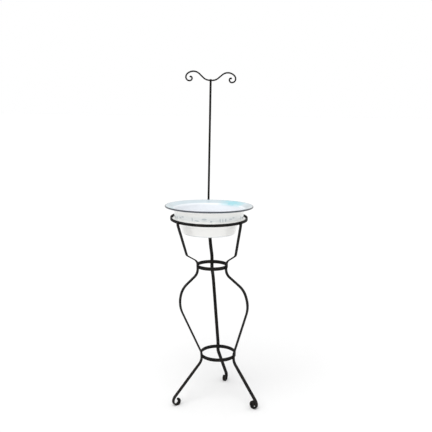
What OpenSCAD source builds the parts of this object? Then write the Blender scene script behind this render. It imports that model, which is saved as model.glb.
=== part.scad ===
// Wrought-iron wash basin stand: three bent legs riveted to three hoops, a towel rod with a
// scroll, and a loose enamel basin. Millimetres, +Z up, the front towards -Y.
// The origin is on the floor, under the middle of the part's bounding box.

/* [Bar stock] */
// Width of the flat bar of the legs
leg_w = 14.5; // [10:0.5:16]
// Thickness of the flat bar of the legs
leg_t = 5; // [3:0.5:6]
// Thickness of the bands of the three hoops
band_t = 4.5; // [3:0.5:5]
// Diameter of the rivets' shanks
rivet_d = 5; // [4:0.5:6]
// Diameter of the rivets' domed heads
rivet_head_d = 9; // [8:0.5:10]
// Height of the rivets' domed heads
rivet_head_h = 2.6; // [2:0.2:3.4]

/* [Basin hoop] */
// Outer radius of the hoop that carries the basin
basin_hoop_r = 165; // [156:1:175]
// Height of its middle above the floor
basin_hoop_z = 793; // [760:5:830]
// Height of its band
basin_hoop_h = 12; // [9:0.5:13]
// Angle that it droops at the front, in degrees
basin_hoop_tilt = 2.2; // [0:0.2:4]

/* [Waist hoop] */
// Outer radius of the small hoop at the neck
waist_hoop_r = 68; // [62:1:76]
// Height of its middle above the floor
waist_hoop_z = 587; // [573:2:603]
// Height of its band
waist_hoop_h = 15; // [10:0.5:16]
// Angle that it droops at the front, in degrees
waist_hoop_tilt = 1.5; // [0:0.5:4]

/* [Lower hoop] */
// Outer radius of the hoop above the feet
lower_hoop_r = 78; // [70:1:86]
// Height of its middle above the floor
lower_hoop_z = 193; // [180:1:210]
// Height of its band
lower_hoop_h = 15; // [10:0.5:16]
// Angle that it droops at the front, in degrees
lower_hoop_tilt = 3.5; // [0:0.5:5]

/* [Legs] */
// Directions of the back leg, in degrees: at the basin, waist and lower hoops, and of its foot
back_leg_az = [92, 91, 90, 68]; // [60:1:100]
// Directions of the left leg at the same four places
left_leg_az = [221, 210, 208, 216]; // [200:1:226]
// Directions of the right leg at the same four places
right_leg_az = [322, 328, 327, 312]; // [306:1:334]
// Angle that the frame leans to the left above the lower hoop, in degrees
lean = 4.4; // [0:0.2:6]
// Distance of the shoulder bend from the axis
shoulder_r = 125; // [115:1:135]
// Height of the shoulder bend above the waist hoop
shoulder_rise = 57; // [50:1:64]
// Distance of the bulge's upper bend from the axis
bulge_top_r = 153; // [142:1:166]
// Depth of the bulge's upper bend below the waist hoop
bulge_top_drop = 88; // [80:1:98]
// Distance of the bulge's lower bend from the axis
bulge_low_r = 171; // [158:1:184]
// Depth of the bulge's lower bend below the waist hoop
bulge_low_drop = 158; // [145:1:172]

/* [Feet] */
// Distance from the lower hoop out to where the side legs' feet rest on the floor
side_foot_reach = 128; // [116:1:142]
// The same for the back leg's foot
back_foot_reach = 94; // [86:1:122]
// Radius of the bend that runs down into each foot scroll
foot_bend_r = 28; // [20:1:36]
// Radius of the foot scrolls' stretch on the floor
foot_curl_r = 16.5; // [15:0.5:19]
// Radius of the back and left foot scrolls' rising and ending stretches
open_curl_r = [13.5, 9.5]; // [8:0.5:15]
// Radius of the right foot scroll's rising and ending stretches
closed_curl_r = [15.5, 10]; // [9:0.5:16]
// Diameter of the knobs at the foot scrolls' ends
foot_knob_d = 12; // [8:0.5:13]

/* [Towel rod] */
// Diameter of the towel rod
rod_d = 9.5; // [6:0.5:10]
// Distance of the rod behind the basin's axis
rod_back = 200; // [199:1:212]
// Distance of the rod to the left of the basin's axis
rod_left = 5; // [2:1:10]
// Length of the rod from the basin's rim up to the towel scroll
rod_length = 529; // [480:5:560]
// Angle that the rod leans to the right, in degrees
rod_lean = 0.4; // [0:0.2:1.6]
// Diameter of the tenon that holds the towel scroll
tenon_d = 5; // [4:0.5:6]

/* [Towel scroll] */
// Thickness of the scroll's bar, seen from the front
scroll_t = 6.5; // [4:0.5:7]
// Depth of the scroll's bar, from front to back
scroll_w = 10; // [8:0.5:13]
// Radius of the dip on each side of the rod
dip_r = 41; // [35:1:47]
// Slope of the rising stretch, in degrees
rise_angle = 42; // [38:1:46]
// Length of the straight part of the rising stretch
rise_run = 23; // [17:1:29]
// Radius of the crest
crest_r = 39; // [35:1:45]
// Radii of each curl, from the crest inwards
curl_r = [20, 16, 11.5, 6.5]; // [6:0.5:22]
// Diameter of the knobs at the scroll's ends
scroll_knob_d = 8; // [7:0.5:9]
// Angle that the scroll is tilted down to the right, in degrees
scroll_tilt = 1.5; // [0:0.5:3]

/* [Basin] */
// Radius of the middle of the basin's rolled rim
rim_r = 185; // [178:0.5:189]
// Height of the rim's middle above the basin hoop's middle
rim_rise = 51; // [49:1:60]
// Diameter of the rolled rim
rim_d = 7; // [5:0.5:8]
// Thickness of the enamelled sheet
basin_t = 1.2; // [1:0.1:2]
// Depth of the brim's foot below the rim's middle
brim_drop = 9; // [6:1:14]
// Radius of the collar between the brim and the shoulder
collar_r = 147; // [140:1:152]
// Radius of the bowl where it meets the underside of the shoulder
bowl_r = 124; // [118:1:130]
// Radius of the basin's flat bottom, up to its corner
basin_foot_r = 113; // [100:1:117]
// Depth of the basin's bottom below the rim's middle
basin_depth = 117; // [105:1:130]

/* [Hidden] */
$fn = 96;

// Clearances
lap_gap = 0.1;      // between two bars riveted face to face
rivet_gap = 0.1;    // round a rivet or a tenon
seat_gap = 0.3;     // between the basin and its hoop
overlap = 1;        // how far joined shapes and cuts run into each other

// Finish
iron = "#262624";
enamel = "#eef0f0";

// Bends of the legs: radius of each, from the top down
hoop_bend = 20;
shoulder_bend = 16;
neck_bend = 32;
waist_bend = 38;
bulge_top_bend = 80;
bulge_low_bend = 110;
lower_bend = 36;
arc_step = 9;       // greatest turn between two rings of a bend, in degrees
// Straight laps on each hoop, up or down from its middle to the next bend's corner
side_top_run = 11;
back_top_run = 32;
waist_run_up = 25;
waist_run_down = 29;
lower_run_up = 16;
lower_run_down = 20.5;
flat_cut = 0.4;     // depth of the flat worn under each foot
twist_len = 50;     // stretch of the back leg that turns towards its foot
flare_parts = 6;    // rings along the straight flare
open_curl_turn = 55;        // last turn of the back and left foot scrolls
closed_curl_turn = 170;     // last turn of the right foot scroll
// Rod's flattened lower end
tongue_t = 4;
tongue_top = 14;    // above the basin hoop's middle
tongue_foot = 26;   // below it
tongue_rivet = 18;  // lower rivet's drop below the hoop's middle
rod_bend = 12;
joggle_drop = 22;   // rod's upper bend below the basin's rim
swell_drop = 6;     // top of the forged stretch below the basin's rim
rod_swell = 0.5;    // how much the forged stretch is thicker than the rod, each side
tenon_head_h = 2;
// Low heads of the rivets' inner ends, and the sunk ends behind the basin
inner_head_h = 1.2;
inner_head_d = rivet_d + 3;
inner_head_chamfer = 0.6;
sink_depth = (inner_head_d - rivet_d)/2;
// Towel scroll
seat_margin = 1;    // how far its flat runs past each side of the rod
past_crest = 45;    // how far the crest's bend runs on down, in degrees
scroll_end_turn = 100;
// Basin: heights of its shoulder's corners from the basin hoop's middle, and its bends
bowl_top = -22;
seat_foot = -6;
seat_top = -1.5;
collar_foot = 7;
foot_bend = 10;
bowl_bend = 8;
seat_bend = 3;
collar_bend = 5;
brim_bend = 8;
collar_taper = 0.6; // how much the collar widens up to the brim
roll_turn = 280;    // how far the rim is rolled over, in degrees

// The stand's axis: upright up to the lower hoop, leaning to the left above it
function axis_shift(z) = -tan(lean)*max(z - lower_hoop_z, 0);
rim_out = rim_r + rim_d/2;
x_min = axis_shift(basin_hoop_z) - rim_out;
// Outermost corner of a foot, on the left (1) or right (-1) edge of its bar
function foot_corner(az, reach, edge) = radial(az[2])*(lower_hoop_r + lap_gap + leg_t/2)
    + radial(az[3])*(reach + foot_curl_r + leg_t/2) + tangential(az[3])*edge*leg_w/2;
x_max = max(axis_shift(basin_hoop_z) + rim_out, foot_corner(right_leg_az, side_foot_reach, 1).x);
y_min = min(-rim_out, foot_corner(right_leg_az, side_foot_reach, -1).y,
    foot_corner(left_leg_az, side_foot_reach, 1).y);
y_max = max(rim_out, rod_back + scroll_w/2, foot_corner(back_leg_az, back_foot_reach, 1).y);
function axis_at(z) = [axis_shift(z) - (x_min + x_max)/2, -(y_min + y_max)/2, z];

// The hoops, by place: the basin hoop (0), the waist hoop (1) and the lower hoop (2)
hoop_z = [basin_hoop_z, waist_hoop_z, lower_hoop_z];
hoop_r = [basin_hoop_r, waist_hoop_r, lower_hoop_r];
hoop_h = [basin_hoop_h, waist_hoop_h, lower_hoop_h];
hoop_tilt = [basin_hoop_tilt, waist_hoop_tilt, lower_hoop_tilt];

// Point in a hoop's own tilted frame, at radius r along az and dz above its middle
function hoop_point(place, az, r, dz) =
    let (t = hoop_tilt[place], q = radial(az)*r)
    axis_at(hoop_z[place])
        + [q.x, q.y*cos(t) - dz*sin(t), q.y*sin(t) + dz*cos(t)];
module on_hoop(place, az = 0, dz = 0)
    translate(axis_at(hoop_z[place])) rotate([hoop_tilt[place], 0, 0])
        rotate([0, 0, az]) translate([0, 0, dz]) children();

// Directions and bends
function unit(v) = v/norm(v);
function radial(az) = [cos(az), sin(az), 0];
function tangential(az) = [-sin(az), cos(az), 0];
function clamp(v) = min(max(v, 0), 1);

// Points of a bend of radius r at corner b, between the straight runs from a and to c
function bend(a, b, c, r) =
    let (u = unit(a - b), v = unit(c - b), half = acos(u*v)/2,
        centre = b + unit(u + v)*r/sin(half), start = b + u*r/tan(half) - centre,
        sweep = 180 - 2*half, n = max(ceil(sweep/arc_step), 1))
    [for (k = [0:n]) centre + start*cos(sweep*k/n) - u*r*sin(sweep*k/n)];
function bent(corners, radii) =
    [for (i = [0:len(corners) - 1])
        each (radii[i] == 0 ? [corners[i]]
            : bend(corners[i - 1], corners[i], corners[i + 1], radii[i]))];

// A flat path of arcs [radius, turn] and straights [0, length] from point p and heading h;
// a turn above 0 is to the left
function arc_centre(p, h, r, s) = p + r*s*[-sin(h), cos(h)];
function arc_point(p, h, r, turn) =
    let (s = sign(turn)) arc_centre(p, h, r, s) + r*s*[sin(h + turn), -cos(h + turn)];
function chain(p, h, runs, i = 0) =
    i == len(runs) ? []
    : runs[i][0] == 0
        ? let (q = p + runs[i][1]*[cos(h), sin(h)]) concat([q], chain(q, h, runs, i + 1))
        : let (r = runs[i][0], turn = runs[i][1], n = ceil(abs(turn)/arc_step))
            concat([for (k = [1:n]) arc_point(p, h, r, turn*k/n)],
                chain(arc_point(p, h, r, turn), h + turn, runs, i + 1));

// Heading of the straight from p that runs into a right-hand arc of radius r about c
function run_heading(p, c, r) = atan2(c.y - p.y, c.x - p.x) + asin(r/norm(c - p));
function run_end(p, c, r) =
    let (h = run_heading(p, c, r)) p + sqrt(pow(norm(c - p), 2) - r*r)*[cos(h), sin(h)];

// Outline of a flat path made t thick
function flat_normal(path, i) =
    let (d = unit(path[min(i + 1, len(path) - 1)] - path[max(i - 1, 0)])) [-d.y, d.x];
function ribbon(path, t) =
    concat([for (i = [0:len(path) - 1]) path[i] + flat_normal(path, i)*t/2],
        [for (i = [len(path) - 1:-1:0]) path[i] - flat_normal(path, i)*t/2]);

// A solid through rings of points that all have the same count
module sweep(rings) {
    n = len(rings[0]);
    last = len(rings) - 1;
    sides = [for (i = [0:last - 1], j = [0:n - 1])
        let (a = i*n + j, b = i*n + (j + 1)%n, c = a + n, d = b + n)
        each [[a, b, d], [a, d, c]]];
    caps = [[for (j = [n - 1:-1:0]) j], [for (j = [0:n - 1]) last*n + j]];
    polyhedron([for (ring = rings) each ring], concat(sides, caps), convexity = 10);
}

// ---- Legs ----

// Point on a leg's middle line where it laps a hoop, dz above the hoop's middle
function lap(az, place, dz) =
    hoop_point(place, az[place], hoop_r[place] + lap_gap + leg_t/2, dz);

// The foot scroll in its own plane: distance out from the lower hoop across, height up
function foot_path(start_z, reach, radii, end_turn) =
    let (start = [0, start_z],
        centre = [reach + foot_curl_r - foot_bend_r, foot_curl_r + leg_t/2 - flat_cut],
        touch = run_end(start, centre, foot_bend_r),
        heading = run_heading(start, centre, foot_bend_r))
    concat([touch], chain(touch, heading, [[foot_bend_r, -90 - heading],
        [foot_curl_r, -90], [radii[0], -90], [radii[1], -end_turn]]));

// A leg's middle line, from its top end to the end of its foot scroll
function bulge(az, drop, r) =
    let (share = drop/(waist_hoop_z - lower_hoop_z))
    axis_at(waist_hoop_z - drop) + radial(az[1] + (az[2] - az[1])*share)*r;
function leg_path(az, top_run, reach, radii, end_turn) =
    let (lower = lap(az, 2, -lower_run_down),
        scroll = [for (q = foot_path(lower.z, reach, radii, end_turn))
            [lower.x, lower.y, q.y] + radial(az[3])*q.x],
        down = bent([
            lap(az, 0, basin_hoop_h/2),
            lap(az, 0, -top_run),
            axis_at(waist_hoop_z + shoulder_rise) + radial((az[0] + az[1])/2)*shoulder_r,
            lap(az, 1, waist_run_up),
            lap(az, 1, -waist_run_down),
            bulge(az, bulge_top_drop, bulge_top_r),
            bulge(az, bulge_low_drop, bulge_low_r),
            lap(az, 2, lower_run_up),
            lower,
            scroll[0]],
            [0, hoop_bend, shoulder_bend, neck_bend, waist_bend, bulge_top_bend,
            bulge_low_bend, lower_bend, lower_bend, 0]),
        bend_end = down[len(down) - 2],
        flare = [for (k = [1:flare_parts - 1]) bend_end + (scroll[0] - bend_end)*k/flare_parts])
    concat([for (i = [0:len(down) - 2]) down[i]], flare, scroll);

// The bar's width lies along the hoops that it laps, and turns evenly between them
function leg_az(az, z) = lookup(z, [
    [lower_hoop_z - lower_run_down - twist_len, az[3]],
    [lower_hoop_z - lower_run_down, az[2]], [lower_hoop_z + lower_run_up, az[2]],
    [waist_hoop_z - waist_run_down, az[1]], [waist_hoop_z + waist_run_up, az[1]],
    [basin_hoop_z - back_top_run, az[0]]]);
function leg_ring(path, i, az) =
    let (d = unit(path[min(i + 1, len(path) - 1)] - path[max(i - 1, 0)]),
        s = tangential(leg_az(az, path[i].z)), side = unit(s - d*(s*d)),
        across = side*leg_w/2, out = cross(side, d)*leg_t/2)
    [for (q = [across + out, out - across, -across - out, across - out]) path[i] + q];

// A rivet's hole through a hoop and what laps it, or drop below the hoop's middle
module rivet_hole(place, az, drop = 0) {
    on_hoop(place, az, -drop) translate([hoop_r[place] - 2*band_t, 0, 0]) rotate([0, 90, 0])
        cylinder(h = 2*band_t + 2*leg_t + tongue_t, d = rivet_d + 2*rivet_gap);
}

module leg(az, top_run, reach, radii, end_turn) {
    path = leg_path(az, top_run, reach, radii, end_turn);
    end = path[len(path) - 1];
    color(iron) difference() {
        union() {
            sweep([for (i = [0:len(path) - 1]) leg_ring(path, i, az)]);
            translate(end) rotate([90, 0, az[3]])
                cylinder(h = leg_w, d = foot_knob_d, center = true);
        }
        translate([end.x, end.y, -leg_w/2]) cube([6*leg_w, 6*leg_w, leg_w], center = true);
        for (place = [0:2]) rivet_hole(place, az[place]);
        children();
    }
}

module leg_left() leg(left_leg_az, side_top_run, side_foot_reach, open_curl_r, open_curl_turn);
module leg_right() leg(right_leg_az, side_top_run, side_foot_reach, closed_curl_r, closed_curl_turn);
module leg_back() {
    leg(back_leg_az, back_top_run, back_foot_reach, open_curl_r, open_curl_turn)
        rivet_hole(0, back_leg_az[0], tongue_rivet);
}

// ---- Hoops ----

function leg_angles(place) = [for (az = [left_leg_az, right_leg_az, back_leg_az]) az[place]];

// The basin hoop's holes are countersunk inside, so that the basin drops in past the rivets
module hoop(place) {
    r = hoop_r[place];
    h = hoop_h[place];
    color(iron) difference() {
        on_hoop(place) rotate_extrude() translate([r - band_t, -h/2]) square([band_t, h]);
        for (az = leg_angles(place)) {
            rivet_hole(place, az);
            if (place == 0) on_hoop(place, az) translate([r - band_t - sink_depth, 0, 0])
                rotate([0, 90, 0]) cylinder(h = 2*sink_depth + rivet_gap,
                    d1 = inner_head_d + 2*sink_depth + 2*rivet_gap, d2 = rivet_d);
        }
    }
}

module basin_hoop() hoop(0);
module waist_hoop() hoop(1);
module lower_hoop() hoop(2);

// ---- Rivets ----

// Half profile of a domed head
function dome(d, h) =
    concat([for (angle = [0:15:75]) [d/2*cos(angle), h*sin(angle)]], [[0, h]]);

// A rivet along az through radii r_in to r_out: domed outside, a low head or a sunk end inside
module rivet(place, az, r_in, r_out, sunk = false, drop = 0) {
    shank = r_out + lap_gap - r_in;
    inner = sunk ? [[0, 0], [inner_head_d/2, 0], [rivet_d/2, sink_depth]]
        : [[0, -inner_head_h], [inner_head_d/2 - inner_head_chamfer, -inner_head_h],
        [inner_head_d/2, -inner_head_h/2], [inner_head_d/2, 0], [rivet_d/2, 0]];
    color(iron) on_hoop(place, az, -drop) translate([r_in, 0, 0]) rotate([0, 90, 0])
        rotate_extrude() polygon(concat(inner, [[rivet_d/2, shank]],
            [for (q = dome(rivet_head_d, rivet_head_h)) q + [0, shank]]));
}

// Radius of the flat seat for a rivet's inner end, and of the legs' outer face
function inner_seat(place) = sqrt(pow(hoop_r[place] - band_t, 2) - pow(inner_head_d/2, 2));
function leg_face(place) = hoop_r[place] + lap_gap + leg_t;

module basin_hoop_rivets() {
    for (az = [left_leg_az[0], right_leg_az[0]]) rivet(0, az, inner_seat(0), leg_face(0), true);
}
module waist_hoop_rivets() {
    for (az = leg_angles(1)) rivet(1, az, inner_seat(1), leg_face(1));
}
module lower_hoop_rivets() {
    for (az = leg_angles(2)) rivet(2, az, inner_seat(2), leg_face(2));
}

// ---- Towel rod ----

tongue_az = back_leg_az[0];
tongue_r = leg_face(0) + lap_gap + tongue_t/2;
rod_foot = axis_at(basin_hoop_z) + [-rod_left, rod_back, rim_rise];
rod_path = bent([
    hoop_point(0, tongue_az, tongue_r, -tongue_foot),
    hoop_point(0, tongue_az, tongue_r, tongue_top),
    rod_foot - [0, 0, joggle_drop],
    rod_foot - [0, 0, swell_drop]],
    [0, rod_bend, rod_bend, 0]);

// Section of the rod's lower end: m is 0 on the flat tongue and 1 on the round rod
section_points = 20;
function tongue_section(angle, m) =
    let (c = cos(angle), s = sin(angle), reach = 1/max(abs(c), abs(s)),
        flat = [leg_w/2*c*reach, tongue_t/2*s*reach], round = (rod_d/2 + rod_swell)*[c, s])
    flat + (round - flat)*m;
function rod_ring(i) =
    let (p = rod_path[i], m = clamp((i - 1)/(len(rod_path) - 3)),
        d = unit(rod_path[min(i + 1, len(rod_path) - 1)] - rod_path[max(i - 1, 0)]),
        s = tangential(tongue_az), side = unit(s - d*(s*d)), out = cross(side, d))
    [for (k = [0:section_points - 1])
        let (q = tongue_section(45 + 360*k/section_points, m)) p + side*q.x + out*q.y];

// Gap under and over the scroll, which lies aslant on the rod's shoulder
slant_gap = lap_gap + rod_d/2*tan(scroll_tilt);

// Places its children on the leaning rod, z above the basin's rim
module on_rod(z) translate(rod_foot) rotate([0, rod_lean, 0]) translate([0, 0, z]) children();

module towel_rod() {
    color(iron) difference() {
        union() {
            sweep([for (i = [0:len(rod_path) - 1]) rod_ring(i)]);
            on_rod(-swell_drop - 2*overlap)
                cylinder(h = rod_length + swell_drop + 2*overlap, d = rod_d);
            on_rod(rod_length - overlap) cylinder(h = scroll_t + 2*overlap, d = tenon_d);
            on_rod(rod_length + scroll_t + 2*slant_gap) rotate_extrude()
                polygon(concat([[0, 0]], dome(rod_d, tenon_head_h)));
        }
        rivet_hole(0, tongue_az);
        rivet_hole(0, tongue_az, tongue_rivet);
    }
}

module rod_rivets() {
    outer = tongue_r + tongue_t/2;
    rivet(0, tongue_az, inner_seat(0), outer, sunk = true);
    rivet(0, tongue_az, basin_hoop_r + lap_gap, outer, drop = tongue_rivet);
}

// ---- Towel scroll ----

// Half of the scroll's middle line, from the flat on the rod's shoulder to the curl's end
scroll_half = concat([[0, 0]], chain([0, 0], 0, [[0, rod_d/2 + seat_margin],
    [dip_r, rise_angle], [0, rise_run], [crest_r, -rise_angle - past_crest],
    [curl_r[0], past_crest - 90], [curl_r[1], -90], [curl_r[2], -90],
    [curl_r[3], -scroll_end_turn]]));

module half_scroll() {
    end = scroll_half[len(scroll_half) - 1];
    linear_extrude(scroll_w, center = true) polygon(ribbon(scroll_half, scroll_t));
    translate([end.x, end.y, 0]) cylinder(h = scroll_w, d = scroll_knob_d, center = true);
}

module towel_scroll() {
    color(iron) difference() {
        on_rod(rod_length + scroll_t/2 + slant_gap) rotate([90, scroll_tilt, 0]) {
            half_scroll();
            mirror([1, 0, 0]) half_scroll();
        }
        on_rod(rod_length - overlap) cylinder(h = scroll_t + 2*overlap, d = tenon_d + 2*rivet_gap);
    }
}

// ---- Basin ----

// The shoulder drops into the slanting hoop, and the narrower collar stands up through it
basin_seat_r = (basin_hoop_r - band_t)*cos(basin_hoop_tilt) - basin_hoop_h/2*sin(basin_hoop_tilt)
    - seat_gap - basin_t/2;
roll_r = (rim_d - basin_t)/2;
brim_foot = [collar_r + collar_taper, -brim_drop];
brim_end = run_end(brim_foot, [rim_r, 0], roll_r);
brim_heading = run_heading(brim_foot, [rim_r, 0], roll_r);
basin_path = concat(
    bent([
        [0, basin_t/2 - basin_depth],
        [basin_foot_r, basin_t/2 - basin_depth],
        [bowl_r, bowl_top - rim_rise],
        [basin_seat_r, seat_foot - rim_rise],
        [basin_seat_r, seat_top - rim_rise],
        [collar_r, collar_foot - rim_rise],
        brim_foot,
        brim_end],
        [0, foot_bend, bowl_bend, seat_bend, seat_bend, collar_bend, brim_bend, 0]),
    chain(brim_end, brim_heading, [[roll_r, -roll_turn]]));

module basin_shell() {
    color(enamel) translate(axis_at(basin_hoop_z) + [0, 0, rim_rise])
        rotate_extrude($fn = 192) polygon(ribbon(basin_path, basin_t));
}

leg_left();
leg_right();
leg_back();
lower_hoop();
waist_hoop();
basin_hoop();
lower_hoop_rivets();
waist_hoop_rivets();
basin_hoop_rivets();
towel_rod();
rod_rivets();
towel_scroll();
basin_shell();
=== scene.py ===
import math

import bmesh
import bpy
import numpy as np
from mathutils import Matrix, Vector, noise


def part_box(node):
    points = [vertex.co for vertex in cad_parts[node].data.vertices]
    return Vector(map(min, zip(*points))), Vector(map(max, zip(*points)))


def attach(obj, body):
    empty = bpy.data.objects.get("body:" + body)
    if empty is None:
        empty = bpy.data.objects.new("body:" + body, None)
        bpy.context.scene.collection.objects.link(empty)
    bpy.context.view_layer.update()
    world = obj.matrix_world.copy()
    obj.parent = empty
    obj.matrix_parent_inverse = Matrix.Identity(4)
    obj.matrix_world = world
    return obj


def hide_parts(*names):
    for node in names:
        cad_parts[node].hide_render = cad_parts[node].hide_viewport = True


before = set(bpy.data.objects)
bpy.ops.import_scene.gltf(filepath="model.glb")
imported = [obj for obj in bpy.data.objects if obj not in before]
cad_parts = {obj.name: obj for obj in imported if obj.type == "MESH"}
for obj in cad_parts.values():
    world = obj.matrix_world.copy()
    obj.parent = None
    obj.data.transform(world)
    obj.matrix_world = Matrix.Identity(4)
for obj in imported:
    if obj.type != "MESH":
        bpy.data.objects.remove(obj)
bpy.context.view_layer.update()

# ---- Hoops ----
# Three rings of flat iron band, bent round and forge-welded shut. The wide one takes the basin,
# the two small ones hold the legs together at the waist and above the feet. They were blackened
# hot, so the iron is dull black with shallow hammer marks and thinly worn edges.

HOOPS = ["basin_hoop", "waist_hoop", "lower_hoop"]
BASIN, WAIST, LOWER = 0, 1, 2
band_t = 0.0045
hoop_r = [0.165, 0.068, 0.078]
hoop_h = [0.012, 0.015, 0.015]
hoop_tilt = [2.2, 1.5, 3.5]
hoop_corner, hoop_dress = 0.0009, 0.0002
hoop_centre = [(Vector(low) + Vector(high)) / 2 for low, high in map(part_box, HOOPS)]

scale_black = (0.0062, 0.0064, 0.0064, 1)
oil_brown = (0.0115, 0.0095, 0.0078, 1)
rubbed_iron = (0.034, 0.035, 0.036, 1)
old_rust = (0.052, 0.022, 0.010, 1)
SMOOTH_UNDER = math.radians(38)


class Shade:
    """A socket of a finish. Sums and products of sockets add their Math nodes."""

    def __init__(self, tree, socket=None):
        self.tree, self.socket = tree, socket

    def node(self, kind, settings, sockets, output=0):
        made = self.tree.nodes.new(kind)
        for name, setting in settings.items():
            setattr(made, name, setting)
        for name, value in sockets.items():
            if isinstance(value, Shade):
                self.tree.links.new(value.socket, made.inputs[name])
            else:
                made.inputs[name].default_value = value
        return Shade(self.tree, made.outputs[output] if made.outputs else None)

    def math(self, operation, first, second=0.0):
        return self.node("ShaderNodeMath", {"operation": operation}, {0: first, 1: second})

    def __add__(self, other):
        return self.math("ADD", self, other)

    __radd__ = __add__

    def __sub__(self, other):
        return self.math("SUBTRACT", self, other)

    def __rsub__(self, other):
        return self.math("SUBTRACT", other, self)

    def __mul__(self, other):
        return self.math("MULTIPLY", self, other)

    __rmul__ = __mul__

    def __truediv__(self, other):
        return self.math("DIVIDE", self, other)

    def larger(self, other):
        return self.math("MAXIMUM", self, other)

    def rise(self, start, end):
        """0 below start and 1 above end, with a smooth step between them."""
        return self.node("ShaderNodeMapRange", {"interpolation_type": "SMOOTHSTEP"},
                         {"Value": self, "From Min": start, "From Max": end})

    def fall(self, start, end):
        return 1 - self.rise(start, end)

    def tint(self, colour, other):
        """The first colour where this mask is 0, and the other where it is 1."""
        return self.node("ShaderNodeMix", {"data_type": "RGBA"}, {0: self, 6: colour, 7: other}, 2)

    def grain(self, scale, detail=2.0, roughness=0.5):
        """Noise at this place."""
        return self.node("ShaderNodeTexNoise", {}, {"Vector": self, "Scale": scale, "Detail": detail,
                                                    "Roughness": roughness})

    def axes(self):
        parts = self.tree.nodes.new("ShaderNodeSeparateXYZ")
        self.tree.links.new(self.socket, parts.inputs[0])
        return [Shade(self.tree, parts.outputs[k]) for k in range(3)]


def new_finish(name):
    """An empty finish: its material, its shader and the place on the piece."""
    finish = bpy.data.materials.new(name)
    finish.use_nodes = True
    tree = finish.node_tree
    tree.nodes.clear()
    shader = tree.nodes.new("ShaderNodeBsdfPrincipled")
    output = tree.nodes.new("ShaderNodeOutputMaterial")
    tree.links.new(shader.outputs[0], output.inputs["Surface"])
    place = Shade(tree).node("ShaderNodeTexCoord", {}, {}, "Object")
    return finish, shader, place


def feed(shader, **values):
    """Links each value to the shader's socket, or sets it there."""
    for name, value in values.items():
        socket = shader.inputs[name.replace("_", " ")]
        if isinstance(value, Shade):
            value.tree.links.new(value.socket, socket)
        else:
            socket.default_value = value


def blackened_iron(name, offset, blow_size=0.011, rust_to=0.0):
    """Hammered, blackened iron, rusting thinly below the height rust_to."""
    finish, shader, place = new_finish(name)
    height = place.axes()[2]
    at = place.node("ShaderNodeVectorMath", {"operation": "ADD"}, {0: place, 1: offset})
    edge = place.node("ShaderNodeAttribute", {"attribute_name": "edge"}, {}, "Fac")
    blows = at.node("ShaderNodeTexVoronoi", {"feature": "SMOOTH_F1"},
                    {"Vector": at, "Scale": 1 / blow_size, "Smoothness": 0.8})
    patches = at.grain(38, 3)
    pits = at.grain(620, 3, 0.65)
    speckle = at.grain(240, 4, 0.7)
    rubbed = edge * patches.rise(0.42, 0.66) * 0.75 + pits.rise(0.60, 0.74) * 0.12
    low = height.fall(0.004, rust_to + 0.006)
    rust = speckle.rise(0.58, 0.70) * (0.22 + low * 0.6) * patches.rise(0.35, 0.6)
    colour = patches.rise(0.35, 0.7).tint(scale_black, oil_brown)
    colour = rubbed.tint(colour, rubbed_iron)
    colour = rust.tint(colour, old_rust)
    relief = blows * 0.75 + patches * 0.25 + pits * 0.06
    bump = at.node("ShaderNodeBump", {}, {"Strength": 0.55, "Distance": 0.0011, "Height": relief})
    feed(shader, Base_Color=colour, Roughness=0.60 - rubbed * 0.22 + rust * 0.2 + pits * 0.08,
         Specular_IOR_Level=0.10, Normal=bump)
    return finish


def bar_section(width, thickness, corner, per_corner=5):
    """Points round a bar with rounded corners, each with how much its edge stands out."""
    corner = min(corner, width / 2, thickness / 2)
    sharp = 1 - 2 * corner / max(thickness, 1e-6)
    points = []
    for quarter in range(4):
        sx, sy = [(1, 1), (-1, 1), (-1, -1), (1, -1)][quarter]
        for k in range(per_corner):
            turn = math.radians(90 * quarter + 90 * (k + 0.5) / per_corner)
            points.append((sx * (width / 2 - corner) + corner * math.cos(turn),
                           sy * (thickness / 2 - corner) + corner * math.sin(turn),
                           sharp * math.sin(math.pi * (k + 0.5) / per_corner) ** 2))
    return points


def worked(name, rings, shown, closed=False, **traits):
    """A piece through rings of points, with one number per point for each trait."""
    count = len(rings[0])
    corners = [point for ring in rings for point in ring]
    spans = range(len(rings) if closed else len(rings) - 1)
    faces = [(i * count + j, i * count + (j + 1) % count,
              (i + 1) % len(rings) * count + (j + 1) % count, (i + 1) % len(rings) * count + j)
             for i in spans for j in range(count)]
    if not closed:
        last = (len(rings) - 1) * count
        faces += [tuple(range(count)), tuple(last + j for j in range(count))]
    mesh = bpy.data.meshes.new(name)
    mesh.from_pydata(corners, [], faces)
    for trait, numbers in traits.items():
        mesh.attributes.new(trait, "FLOAT", "POINT").data.foreach_set("value", numbers)
    shaped = bmesh.new()
    shaped.from_mesh(mesh)
    bmesh.ops.remove_doubles(shaped, verts=shaped.verts, dist=1e-7)
    bmesh.ops.recalc_face_normals(shaped, faces=shaped.faces)
    shaped.to_mesh(mesh)
    shaped.free()
    mesh.shade_smooth()
    mesh.set_sharp_from_angle(angle=SMOOTH_UNDER)
    mesh.materials.append(shown)
    piece = bpy.data.objects.new(name, mesh)
    bpy.context.scene.collection.objects.link(piece)
    return piece


def fitted(piece, node, body):
    """The piece stands for its CAD node, on that node's body."""
    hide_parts(node)
    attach(piece, body)


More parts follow.
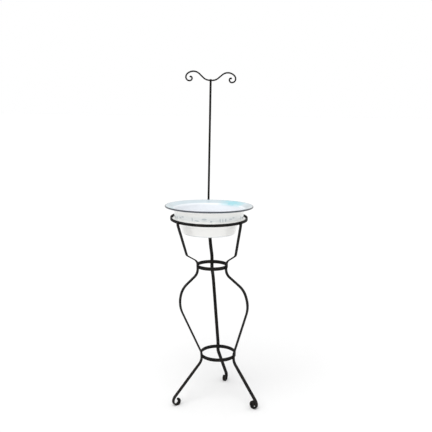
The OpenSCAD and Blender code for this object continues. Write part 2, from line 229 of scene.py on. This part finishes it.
def forged_rings(path, spans, sizes, closed=False):
    """Rings of a bar along a path: spans are the directions of its width, and sizes its
    (width, thickness, corner) at each point."""
    rings, edges = [], []
    count = len(path)
    for i, place in enumerate(path):
        after = path[(i + 1) % count] if closed else path[min(i + 1, count - 1)]
        before = path[i - 1] if closed else path[max(i - 1, 0)]
        along = (after - before).normalized()
        side = (spans[i] - along * spans[i].dot(along)).normalized()
        out = side.cross(along)
        section = bar_section(*sizes[i])
        rings.append([place + side * a + out * b for a, b, _ in section])
        edges += [sharp for _, _, sharp in section]
    return rings, edges


def uneven(place, size, share, seed):
    """A size that varies by a small share, as on a bar drawn out by hand."""
    return size * (1 + share * noise.noise(place * 55 + Vector((seed, 0, 0))))


def radial(az):
    return Vector((math.cos(math.radians(az)), math.sin(math.radians(az)), 0))


def hoop_frame(place):
    """From a hoop's own frame, level and about its centre, to the stand's."""
    return Matrix.Translation(hoop_centre[place]) @ Matrix.Rotation(
        math.radians(hoop_tilt[place]), 4, "X")


hoop_iron = blackened_iron("hoop_iron", (0.31, 0.12, 0.05))
for place, node in enumerate(HOOPS):
    seat = hoop_frame(place)
    steps = 240 if place == BASIN else 120
    level = [radial(360 * k / steps) * (hoop_r[place] - band_t / 2) for k in range(steps)]
    path = [seat @ point for point in level]
    upright = seat.to_3x3() @ Vector((0, 0, 1))
    dressed_h = hoop_h[place] - hoop_dress
    sizes = [(uneven(point, dressed_h, 0.03, 3), band_t, hoop_corner) for point in path]
    rings, edges = forged_rings(path, [upright] * steps, sizes, closed=True)
    hoop = worked(node + "_forged", rings, hoop_iron, closed=True, edge=edges)
    fitted(hoop, node, "stand")

# ---- Legs ----
# Each leg is one flat bar: in from the basin hoop to the waist, out round a bulge, in again to
# the lower hoop and out to a foot rolled into a scroll. The feet are worn flat where they stand,
# and the bar's end is upset into a rounded knob inside the scroll.

leg_w, leg_t = 0.0145, 0.005
lap_gap = 0.0001
lean = 4.4
leg_az = {"leg_left": [221, 210, 208, 216], "leg_right": [322, 328, 327, 312],
          "leg_back": [92, 91, 90, 68]}
shoulder = (0.057, 0.125)
bulge_top = (-0.088, 0.153)
bulge_low = (-0.158, 0.171)
top_run = {"leg_left": 0.011, "leg_right": 0.011, "leg_back": 0.032}
waist_run_up, waist_run_down, lower_run_up, lower_run_down = 0.025, 0.029, 0.016, 0.0205
leg_bends = [0, 0.020, 0.016, 0.032, 0.038, 0.080, 0.110, 0.036, 0.036, 0]
foot_reach = {"leg_left": 0.128, "leg_right": 0.128, "leg_back": 0.094}
foot_bend, foot_curl, flat_cut = 0.028, 0.0165, 0.0004
foot_rolls = {"leg_left": [(0.0135, 90), (0.0095, 55)], "leg_back": [(0.0135, 90), (0.0095, 55)],
              "leg_right": [(0.0155, 90), (0.010, 170)]}
knob_d, knob_run = 0.012, 0.040
twist_len, twist_top = 0.050, 0.032
bar_corner, bar_step = 0.0008, 0.006


def axis_at(height):
    """The stand's middle line: upright up to the lower hoop, leaning to the left above it."""
    foot = hoop_centre[LOWER]
    shift = math.tan(math.radians(lean)) * max(height - foot.z, 0)
    return Vector((foot.x - shift, foot.y, height))


def hoop_point(place, az, out, up):
    return hoop_frame(place) @ (radial(az) * out + Vector((0, 0, up)))


def bent(corners, radii, step=4):
    """The corners of a bar's middle line, each rounded to its own radius."""
    path = []
    for i, corner in enumerate(corners):
        if not radii[i]:
            path.append(corner)
            continue
        back, on = (corners[i - 1] - corner).normalized(), (corners[i + 1] - corner).normalized()
        half = back.angle(on) / 2
        centre = corner + (back + on).normalized() * radii[i] / math.sin(half)
        arm = corner + back * radii[i] / math.tan(half) - centre
        sweep = math.pi - 2 * half
        count = max(math.ceil(math.degrees(sweep) / step), 1)
        path += [centre + arm * math.cos(sweep * k / count)
                 - back * radii[i] * math.sin(sweep * k / count) for k in range(count + 1)]
    return path


def rolled(start, heading, rolls, step=6):
    """A flat line of right-hand arcs (radius, turn) from a point, all in degrees."""
    line, (x, y) = [], start
    for radius, turn in rolls:
        cx = x + radius * math.sin(math.radians(heading))
        cy = y - radius * math.cos(math.radians(heading))
        count = math.ceil(turn / step)
        for k in range(1, count + 1):
            at = math.radians(heading - turn * k / count)
            x, y = cx - radius * math.sin(at), cy + radius * math.cos(at)
            line.append((x, y))
        heading -= turn
    return line


def run_onto(start, centre, radius):
    """Where a straight from start runs onto an arc about centre, and its heading there."""
    dx, dy = centre[0] - start[0], centre[1] - start[1]
    heading = math.atan2(dy, dx) + math.asin(radius / math.hypot(dx, dy))
    length = math.sqrt(dx * dx + dy * dy - radius * radius)
    touch = (start[0] + length * math.cos(heading), start[1] + length * math.sin(heading))
    return touch, math.degrees(heading)


def spaced(path, step):
    """The same path with no gap between points longer than step."""
    fine = [path[0]]
    for point in path[1:]:
        gap = point - fine[-1]
        parts = max(math.ceil(gap.length / step), 1)
        fine += [fine[-1] + gap * k / parts for k in range(1, parts)] + [point]
    return fine


def leg_line(leg):
    """The leg's middle line, from its top end down to the tip of its scroll."""
    az = leg_az[leg]

    def lap(place, up):
        return hoop_point(place, az[place], hoop_r[place] + lap_gap + leg_t / 2, up)

    def between(rise, out, share):
        height = hoop_centre[WAIST].z + rise
        return axis_at(height) + radial(az[1] + (az[2] - az[1]) * share) * out

    leave = lap(LOWER, -lower_run_down)
    rest = (foot_reach[leg] + foot_curl - foot_bend, foot_curl + leg_t / 2 - flat_cut)
    touch, heading = run_onto((0, leave.z), rest, foot_bend)
    foot = [touch] + rolled(touch, heading, [(foot_bend, 90 + heading), (foot_curl, 90)]
                            + foot_rolls[leg])
    foot = [Vector((leave.x, leave.y, up)) + radial(az[3]) * out for out, up in foot]
    span = hoop_centre[WAIST].z - hoop_centre[LOWER].z
    shoulder_z = hoop_centre[WAIST].z + shoulder[0]
    upper = bent([
        lap(BASIN, hoop_h[BASIN] / 2),
        lap(BASIN, -top_run[leg]),
        axis_at(shoulder_z) + radial((az[0] + az[1]) / 2) * shoulder[1],
        lap(WAIST, waist_run_up),
        lap(WAIST, -waist_run_down),
        between(*bulge_top, -bulge_top[0] / span),
        between(*bulge_low, -bulge_low[0] / span),
        lap(LOWER, lower_run_up),
        leave,
        foot[0]], leg_bends)
    return spaced(upper[:-1] + foot, bar_step)


def leg_turn(leg, height):
    """Direction that a leg faces at a height: it twists evenly between the hoops."""
    az = leg_az[leg]
    low, mid, top = [hoop_centre[place].z for place in (LOWER, WAIST, BASIN)]
    return np.interp(height, [low - lower_run_down - twist_len, low - lower_run_down,
                              low + lower_run_up, mid - waist_run_down, mid + waist_run_up,
                              top - twist_top],
                     [az[3], az[2], az[2], az[1], az[1], az[0]])


def lengths_along(path):
    """How far along the path each of its points is."""
    return np.cumsum([0.0] + [(after - before).length for before, after in zip(path, path[1:])])


def knobbed(path, spans, width, thickness, knob, run):
    """A bar whose end is upset into a knob: it swells over the last run, then rounds off."""
    narrowing, tip_narrowing, tip_steps = 0.04, 0.22, 7
    sizes = []
    lengths = lengths_along(path)
    for place, length in zip(path, lengths):
        share = min(max((length - lengths[-1] + run) / run, 0), 1)
        share = share * share * (3 - 2 * share)
        sizes.append((uneven(place, width, 0.018, 1) * (1 - narrowing * share),
                      uneven(place, thickness, 0.03, 2) + (knob - thickness) * share,
                      bar_corner + (knob / 2 - bar_corner) * share * 0.75))
    path, spans = list(path), list(spans)
    on = (path[-1] - path[-2]).normalized()
    tip, span = path[-1], spans[-1]
    for k in range(1, tip_steps + 1):
        turn = math.radians(90 * k / (tip_steps + 0.4))
        path.append(tip + on * knob / 2 * math.sin(turn))
        spans.append(span)
        thick = knob * math.cos(turn)
        wide = width * (1 - narrowing - tip_narrowing * math.sin(turn) ** 3)
        sizes.append((wide, thick, thick * 0.42))
    return path, spans, sizes


def blunt_end(path, spans, sizes, bevel=0.0006):
    """Softens the bar's first end with a narrow bevel."""
    width, thickness, corner = sizes[0]
    on = (path[1] - path[0]).normalized()
    path = [path[0], path[0] + on * bevel, *path[1:]]
    sizes = [(width - 2 * bevel, thickness - 2 * bevel, corner), *sizes]
    return path, [spans[0], *spans], sizes


leg_iron = blackened_iron("leg_iron", (0, 0, 0), rust_to=0.05)
for leg in leg_az:
    line = leg_line(leg)
    spans = [radial(leg_turn(leg, point.z) + 90) for point in line]
    line, spans, sizes = knobbed(line, spans, leg_w, leg_t, knob_d, knob_run)
    line, spans, sizes = blunt_end(line, spans, sizes)
    rings, edges = forged_rings(line, spans, sizes)
    for point in (point for ring in rings for point in ring):
        point.z = max(point.z, 0)
    fitted(worked(leg + "_forged", rings, leg_iron, edge=edges), leg, "stand")

# ---- Hoop rivets ----
# Soft iron rivets closed hot through leg and hoop, one at each lap: a domed head outside and a
# low one inside. Those of the basin hoop are sunk flush inside, so that the basin drops past them.

rivet_d, head_d, head_h = 0.005, 0.009, 0.0026
inner_d, inner_h, inner_round, sink = 0.008, 0.0012, 0.0010, 0.0015
rivet_wear = 0.35


def turned(profile, frame_of_piece, segments=40):
    """Rings of a piece of revolution: profile is (radius, height) from its inner end out."""
    rings = []
    for radius, up in profile:
        ring = [Vector((radius * math.cos(2 * math.pi * k / segments),
                        radius * math.sin(2 * math.pi * k / segments), up))
                for k in range(segments)]
        rings.append([frame_of_piece @ point for point in ring])
    return rings


def dome(width, rise, base=0.0, steps=9):
    """Half profile of a domed head, a little flattened by the hammer."""
    return [(width / 2 * math.cos(math.radians(90 * k / steps)) ** 0.9,
             base + rise * math.sin(math.radians(90 * k / steps))) for k in range(steps + 1)]


def rivet_rings(place, az, inside, outside, sunk=False, drop=0.0):
    """A rivet along az, with its heads' seats at these distances from the hoop's axis."""
    grip = outside + lap_gap - inside
    if sunk:
        foot = [(0, 0), (inner_d / 2, 0), (rivet_d / 2, sink)]
    else:
        foot = [(0, -inner_h), (inner_d / 2 - inner_round, -inner_h),
                (inner_d / 2 - 0.3 * inner_round, -0.7 * inner_h),
                (inner_d / 2, -0.3 * inner_h), (inner_d / 2, 0), (rivet_d / 2, 0)]
    seat = (hoop_frame(place) @ Matrix.Rotation(math.radians(az), 4, "Z")
            @ Matrix.Translation((inside, 0, -drop)) @ Matrix.Rotation(math.pi / 2, 4, "Y"))
    return turned(foot + [(rivet_d / 2, grip)] + dome(head_d, head_h, grip), seat)


def rivet_group(name, finish, rivets):
    """Several rivets as one piece."""
    made = [worked(name, rings, finish, edge=[rivet_wear] * (len(rings) * len(rings[0])))
            for rings in rivets]
    joined = bmesh.new()
    for rivet in made:
        joined.from_mesh(rivet.data)
    joined.to_mesh(made[0].data)
    joined.free()
    for rivet in made[1:]:
        bpy.data.objects.remove(rivet)
    return made[0]


def inner_seat(place):
    """Where the edge of a rivet's low head meets the hoop's round inside."""
    return math.sqrt((hoop_r[place] - band_t) ** 2 - (inner_d / 2) ** 2)


def leg_face(place):
    """The outer face of a leg lapped on the hoop."""
    return hoop_r[place] + lap_gap + leg_t


rivet_iron = blackened_iron("rivet_iron", (0.7, 0.2, 0.4), blow_size=0.004)
for place, node in enumerate(HOOPS):
    riveted = ["leg_left", "leg_right"] + ([] if place == BASIN else ["leg_back"])
    group = rivet_group(node + "_rivets_set", rivet_iron, [
        rivet_rings(place, leg_az[leg][place], inner_seat(place), leg_face(place), place == BASIN)
        for leg in riveted])
    fitted(group, node + "_rivets", "stand")

# ---- Towel rod ----
# A round rod. Its lower end is forged flat into a tongue, riveted twice to the back leg, and
# joggled out to pass behind the basin's rim. At the top a thin tenon goes through the towel
# scroll and is peened over into a small round head.

rod_d, rod_length, rod_lean = 0.0095, 0.529, 0.4
rod_back, rod_left, rim_rise = 0.200, 0.005, 0.051
tongue_t, tongue_top, tongue_foot, tongue_rivet = 0.004, 0.014, 0.026, 0.018
rod_bend, joggle_drop, swell_drop, rod_swell = 0.012, 0.022, 0.006, 0.0005
tenon_d, tenon_head_h = 0.005, 0.002
scroll_t, scroll_w, scroll_tilt = 0.0065, 0.010, 1.5
slant_gap = lap_gap + rod_d / 2 * math.tan(math.radians(scroll_tilt))

tongue_az = leg_az["leg_back"][0]
tongue_r = leg_face(BASIN) + lap_gap + tongue_t / 2
rod_foot = hoop_centre[BASIN] + Vector((-rod_left, rod_back, rim_rise))
rod_frame = Matrix.Translation(rod_foot) @ Matrix.Rotation(math.radians(rod_lean), 4, "Y")

joggle = bent([
    hoop_point(BASIN, tongue_az, tongue_r, -tongue_foot),
    hoop_point(BASIN, tongue_az, tongue_r, tongue_top),
    rod_foot - Vector((0, 0, joggle_drop)),
    rod_foot - Vector((0, 0, swell_drop))], [0, rod_bend, rod_bend, 0])
lower = spaced(joggle, 0.004)
shares = np.interp(lengths_along(lower), lengths_along(joggle),
                   np.clip((np.arange(len(joggle)) - 1) / (len(joggle) - 3), 0, 1))
swollen = rod_d + 2 * rod_swell
sizes = [(leg_w + (swollen - leg_w) * m, tongue_t + (swollen - tongue_t) * m,
          bar_corner + (swollen / 2 - bar_corner) * m) for m in shares]


def round_at(*stations):
    """Points and sizes of the round rod at (height, diameter) stations above the basin's rim."""
    return ([rod_frame @ Vector((0, 0, up)) for up, _ in stations],
            [(width, width, width / 2) for _, width in stations])


shaft = [(2 * bar_step + bar_step * k, rod_d) for k in range(int(rod_length / bar_step) - 2)]
over = rod_length + scroll_t + 2 * slant_gap
sill = 0.00001
head = [(over + tenon_head_h * share, width) for share, width in [
    (0.2, rod_d), (0.5, rod_d - 0.0012), (0.8, rod_d - 0.0034), (0.975, 0.0012)]]
path, widths = round_at(
    (-0.0055, swollen), (0.002, rod_d + 0.0002), *shaft,
    (rod_length - 0.0006, rod_d), (rod_length, rod_d - 0.0010), (rod_length + sill, tenon_d),
    (over, tenon_d), (over + sill, rod_d - 0.0004), *head)
path, sizes = lower + path, sizes + widths
path, spans, sizes = blunt_end(path, [radial(tongue_az + 90)] * len(path), sizes)
rings, edges = forged_rings(path, spans, sizes)
rod_iron = blackened_iron("rod_iron", (1.3, 0.6, 0.2), blow_size=0.009)
fitted(worked("towel_rod_forged", rings, rod_iron, edge=edges), "towel_rod", "stand")

tongue_face = tongue_r + tongue_t / 2
rod_set = rivet_group("rod_rivets_set", rivet_iron, [
    rivet_rings(BASIN, tongue_az, inner_seat(BASIN), tongue_face, sunk=True),
    rivet_rings(BASIN, tongue_az, hoop_r[BASIN] + lap_gap, tongue_face, drop=tongue_rivet)])
fitted(rod_set, "rod_rivets", "stand")

# ---- Towel scroll ----
# The towel hangs over this flat bar, bent on the flat into two dips with a curl at each end.
# It sits on the rod's shoulder, held by the tenon, a little down on the right. The bar's ends
# are thickened into knobs as at the feet.

scroll_runs = [(0.041, 42), 0.023, (0.039, -87), (0.020, -45), (0.016, -90), (0.0115, -90),
               (0.0065, -100)]
scroll_flat, scroll_knob_d, scroll_knob_run = rod_d / 2 + 0.001, 0.008, 0.010

x, y, heading = scroll_flat, 0.0, 0.0
half = [(x, y)]
for run in scroll_runs:
    if not isinstance(run, tuple):
        x, y = x + run * math.cos(heading), y + run * math.sin(heading)
        half.append((x, y))
        continue
    radius, turn = run[0], math.radians(run[1])
    hand = math.copysign(1, turn)
    cx, cy = x - hand * radius * math.sin(heading), y + hand * radius * math.cos(heading)
    count = math.ceil(abs(run[1]) / 6)
    for k in range(1, count + 1):
        at = heading + turn * k / count
        half.append((cx + hand * radius * math.sin(at), cy - hand * radius * math.cos(at)))
    heading += turn
    x, y = half[-1]
scroll_frame = (rod_frame @ Matrix.Translation((0, 0, rod_length + scroll_t / 2 + slant_gap))
                @ Matrix.Rotation(math.radians(scroll_tilt), 4, "Y")
                @ Matrix.Rotation(math.pi / 2, 4, "X"))
depth = (scroll_frame.to_3x3() @ Vector((0, 0, 1))).normalized()
arms = []
for hand in (1, -1):
    line = spaced([scroll_frame @ Vector((hand * x, y, 0)) for x, y in [(0, 0)] + half], 0.004)
    arms.append(knobbed(line, [depth] * len(line), scroll_w, scroll_t,
                        scroll_knob_d, scroll_knob_run))
(right, _, right_sizes), (left, _, left_sizes) = arms
path, sizes = left[:0:-1] + right, left_sizes[:0:-1] + right_sizes
rings, edges = forged_rings(path, [depth] * len(path), sizes)
scroll_iron = blackened_iron("scroll_iron", (2.1, 0.3, 0.9), blow_size=0.009)
scroll = worked("towel_scroll_forged", rings, scroll_iron, edge=edges)
fitted(scroll, "towel_scroll", "stand")

# ---- Basin ----
# A bowl pressed from sheet steel, with a straight collar, a flared brim and a rim rolled over a
# bead, enamelled white all over and dark blue on the rim's outer side. The collar carries faint
# brushed sprigs, and soft turquoise was sprayed inside under the brim. It lifts out of its hoop.

sheet_t, rim_r, rim_d = 0.0012, 0.185, 0.007
brim_drop, basin_depth, base_r, bowl_r, collar_r = 0.009, 0.117, 0.113, 0.124, 0.147
bowl_top, seat_foot, seat_top, collar_foot = -0.022, -0.006, -0.0015, 0.007
basin_bends = [0, 0.010, 0.008, 0.003, 0.003, 0.005, 0.008, 0]
seat_gap, rim_turn = 0.0003, 280
slant = math.radians(hoop_tilt[BASIN])
seat_r = ((hoop_r[BASIN] - band_t) * math.cos(slant) - hoop_h[BASIN] / 2 * math.sin(slant)
          - seat_gap - sheet_t / 2)
basin_low, basin_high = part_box("basin_shell")
basin_x, basin_y = (basin_low[0] + basin_high[0]) / 2, (basin_low[1] + basin_high[1]) / 2
rim_z = basin_high[2] - rim_d / 2

roll_r = (rim_d - sheet_t) / 2
brim_foot = (collar_r + sheet_t / 2, -brim_drop)
brim_end, brim_heading = run_onto(brim_foot, (rim_r, 0), roll_r)
flat = [Vector((out, up, 0)) for out, up in [
    (0, sheet_t / 2 - basin_depth), (base_r, sheet_t / 2 - basin_depth),
    (bowl_r, bowl_top - rim_rise), (seat_r, seat_foot - rim_rise),
    (seat_r, seat_top - rim_rise), (collar_r, collar_foot - rim_rise), brim_foot, brim_end]]
profile = [(point.x, point.y) for point in spaced(bent(flat, basin_bends, 5), 0.008)]
profile += rolled(brim_end, brim_heading, [(roll_r, rim_turn)], 12)
outer, inner = [], []
for i, (out, up) in enumerate(profile):
    before, after = profile[max(i - 1, 0)], profile[min(i + 1, len(profile) - 1)]
    dx, dy = after[0] - before[0], after[1] - before[1]
    shift = sheet_t / 2 / math.hypot(dx, dy)
    outer.append((max(out + dy * shift, 0), up - dx * shift))
    inner.append((max(out - dy * shift, 0), up + dx * shift))
outline = outer + inner[::-1]
segments = 288
basin_frame = Matrix.Translation((basin_x, basin_y, rim_z))
rings = turned(outline, basin_frame, segments)
outside = [float(i < len(outer)) for i in range(len(outline)) for _ in range(segments)]

enamel_white = (0.94, 0.94, 0.92, 1)
inner_white = (0.86, 0.88, 0.91, 1)
collar_white = (0.72, 0.82, 0.86, 1)
# grey of the brushed sprigs and rubs, and of the painted shade at the base's edge
brush_and_shade_grey = (0.40, 0.47, 0.51, 1)
rim_blue = (0.040, 0.046, 0.062, 1)
spray_turquoise = (0.27, 0.59, 0.66, 1)
spray_blue = (0.475, 0.57, 0.615, 1)
# grey of the painted shade at the brim's left and right ends
painted_shade_grey = (0.32, 0.37, 0.39, 1)
bare_steel = (0.030, 0.028, 0.030, 1)
SPRIGS = 4

enamel, shader, place = new_finish("basin_enamel")
x, y, z = place.axes()
x, y = x - basin_x, y - basin_y
outer_side = place.node("ShaderNodeAttribute", {"attribute_name": "outside"}, {}, "Fac")
outer_side = outer_side.rise(0.4, 0.6)
inner_side = 1 - outer_side
radius = place.math("SQRT", x * x + y * y)
bearing = place.math("ARCTAN2", y, x) / (2 * math.pi)
above_hoop = z - hoop_centre[BASIN].z
above_rim = z - rim_z


def brushed(az, up, half_width, half_length, slant=0, weight=1.0):
    """One soft brush stroke, repeated round the collar, about the bearing az and the height up
    above the hoop's middle: its half sizes, its slant in degrees and its strength."""
    c, s = math.cos(math.radians(slant)), math.sin(math.radians(slant))
    off = place.math("FRACT", bearing * SPRIGS + (0.5 - az / 360 * SPRIGS) % 1) - 0.5
    du, dv = off * (2 * math.pi * collar_r / SPRIGS), above_hoop - up
    across, length = (du * c - dv * s) / half_width, (du * s + dv * c) / half_length
    return (across * across + length * length).fall(0.2, 1.3) * weight


strokes = [brushed(*stroke) for stroke in [
    (-71.5, 0.0120, 0.0030, 0.0085, -4), (-67.0, 0.0115, 0.0026, 0.0085, 3),
    (-62.0, 0.0125, 0.0042, 0.0075, 8), (-97.0, 0.0165, 0.0125, 0.0042, 3),
    (-86.0, 0.0080, 0.0055, 0.0038), (-117.0, 0.0135, 0.0028, 0.0090, -6),
    (-109.0, 0.0095, 0.0115, 0.0032, 6), (-136.5, 0.0190, 0.0085, 0.0040, 0, 0.8),
    (-52.5, 0.0145, 0.0095, 0.0036, 2, 0.9)]]
sprigs = strokes[0]
for stroke in strokes[1:]:
    sprigs = sprigs.larger(stroke)
brushwork = place.grain(420, 3).rise(0.25, 0.6)
sprigs = sprigs * (0.36 + brushwork * 0.36) * outer_side

collar_wash = above_hoop.rise(0.004, 0.008) * above_hoop.fall(0.018, 0.032) * outer_side * 0.27
mottle = place.grain(26, 3)


def brim_patch(az, spread, weight):
    """A soft patch inside the brim about the bearing az, for sprayed turquoise and painted shade."""
    near = place.math("COSINE", (bearing - az / 360) * (2 * math.pi))
    return near.rise(math.cos(math.radians(spread)), 1) * weight


patches = brim_patch(50, 27, 1.0) + brim_patch(200, 24, 0.4) + brim_patch(291, 26, 0.6)
under_rim = above_rim.fall(0.0030, 0.0036) * inner_side
on_brim = radius.rise(collar_r - 0.001, collar_r + 0.011) * under_rim
sprayed_side = above_rim.rise(-0.020, -0.008) * under_rim
turquoise = patches * sprayed_side * (0.55 + mottle.rise(0.35, 0.6) * 0.40)
blue_mist = on_brim * (0.75 + mottle * 0.25)
# Painted shade: the inner brim is greyed towards its left and right ends.
brim_end_shade = (brim_patch(-6, 34, 0.55) + brim_patch(186, 34, 0.35)) * on_brim

rim_paint = radius.rise(rim_r - 0.0016, rim_r - 0.0006) * above_rim.rise(-0.0030, -0.0022)
# Painted shade: grey round the bottom edge of the bowl's outside.
base_edge_shade = (z - basin_low[2]).fall(0.0020, 0.0085) * radius.rise(base_r - 0.020, base_r - 0.006)
base_edge_shade = base_edge_shade * outer_side * (0.30 + mottle * 0.25)
chips = place.grain(170, 4, 0.7).rise(0.69, 0.72) * radius.rise(rim_r - 0.0018, rim_r - 0.0008)
rubs = above_hoop.fall(0.0005, 0.0022) * above_hoop.rise(-0.010, -0.006) * outer_side
rubs = rubs * place.grain(150, 4, 0.7).rise(0.5, 0.62) * 0.28

colour = inner_side.tint(enamel_white, inner_white)
colour = collar_wash.tint(colour, collar_white)
colour = sprigs.tint(colour, brush_and_shade_grey)
colour = blue_mist.tint(colour, spray_blue)
colour = brim_end_shade.tint(colour, painted_shade_grey)
colour = turquoise.tint(colour, spray_turquoise)
colour = rim_paint.tint(colour, rim_blue)
colour = rubs.tint(colour, brush_and_shade_grey)
colour = base_edge_shade.tint(colour, brush_and_shade_grey)
colour = chips.tint(colour, bare_steel)
orange_peel = place.grain(230, 1) + place.grain(60, 1) * 0.8
ripple = place.node("ShaderNodeBump", {}, {"Strength": 0.10, "Distance": 0.0005,
                                           "Height": orange_peel - chips * 0.6})
feed(shader, Base_Color=colour, Roughness=0.13 + mottle * 0.06 + chips * 0.5 + sprigs * 0.05,
     Specular_IOR_Level=0.5, Normal=ripple)
basin = worked("basin_enamelled", rings, enamel, outside=outside)
fitted(basin, "basin_shell", "basin")

# ---- Floor, light and camera ----
# A white studio floor that runs out to the horizon, a broad soft lamp overhead, a little to the
# front and left, and even light from all round. The camera stands where the photograph was
# taken from.

floor_mesh = bpy.data.meshes.new("studio_floor")
reach, floor_gap = 80, 0.0002
floor_mesh.from_pydata([(-reach, -reach, 0), (reach, -reach, 0),
                        (reach, reach, 0), (-reach, reach, 0)], [], [(0, 1, 2, 3)])
floor_paper, shader, place = new_finish("floor_paper")
feed(shader, Base_Color=(0.83, 0.83, 0.83, 1), Roughness=0.9, Specular_IOR_Level=0.1)
floor_mesh.materials.append(floor_paper)
floor = bpy.data.objects.new("studio_floor", floor_mesh)
bpy.context.scene.collection.objects.link(floor)
floor.location.z = -floor_gap

world = bpy.data.worlds.new("studio")
bpy.context.scene.world = world
world.use_nodes = True
tree = world.node_tree
tree.nodes.clear()
rays = tree.nodes.new("ShaderNodeLightPath")
seen = Shade(tree, rays.outputs["Is Camera Ray"]).larger(
    Shade(tree, rays.outputs["Is Glossy Ray"])).larger(
    Shade(tree, rays.outputs["Is Transmission Ray"]))
room_light = 0.86
sky = seen.node("ShaderNodeBackground", {}, {"Color": (1, 1, 1, 1),
                                             "Strength": room_light + seen * (1 - room_light)})
sky.node("ShaderNodeOutputWorld", {}, {"Surface": sky})

lamp = bpy.data.lights.new("soft_lamp", "SUN")
lamp.energy = 1.40
lamp.angle = math.radians(50)
soft_lamp = bpy.data.objects.new("soft_lamp", lamp)
soft_lamp.rotation_euler = Vector((-0.18, -0.42, 0.80)).to_track_quat("Z", "Y").to_euler()
bpy.context.scene.collection.objects.link(soft_lamp)

stand_point = (0.015303, -2.953046, 1.262313)
look_down, roll = 8.886, 0.722
frame_width, focal_length, film_width = 432, 700, 36
lens = bpy.data.cameras.new("camera")
lens.sensor_width = film_width
lens.lens = focal_length / frame_width * film_width
camera = bpy.data.objects.new("camera", lens)
camera.matrix_world = (Matrix.Translation(stand_point)
                       @ Matrix.Rotation(math.radians(90 - look_down), 4, "X")
                       @ Matrix.Rotation(math.radians(roll), 4, "Z"))
bpy.context.scene.collection.objects.link(camera)
bpy.context.scene.camera = camera
bpy.context.scene.view_settings.view_transform = "Standard"
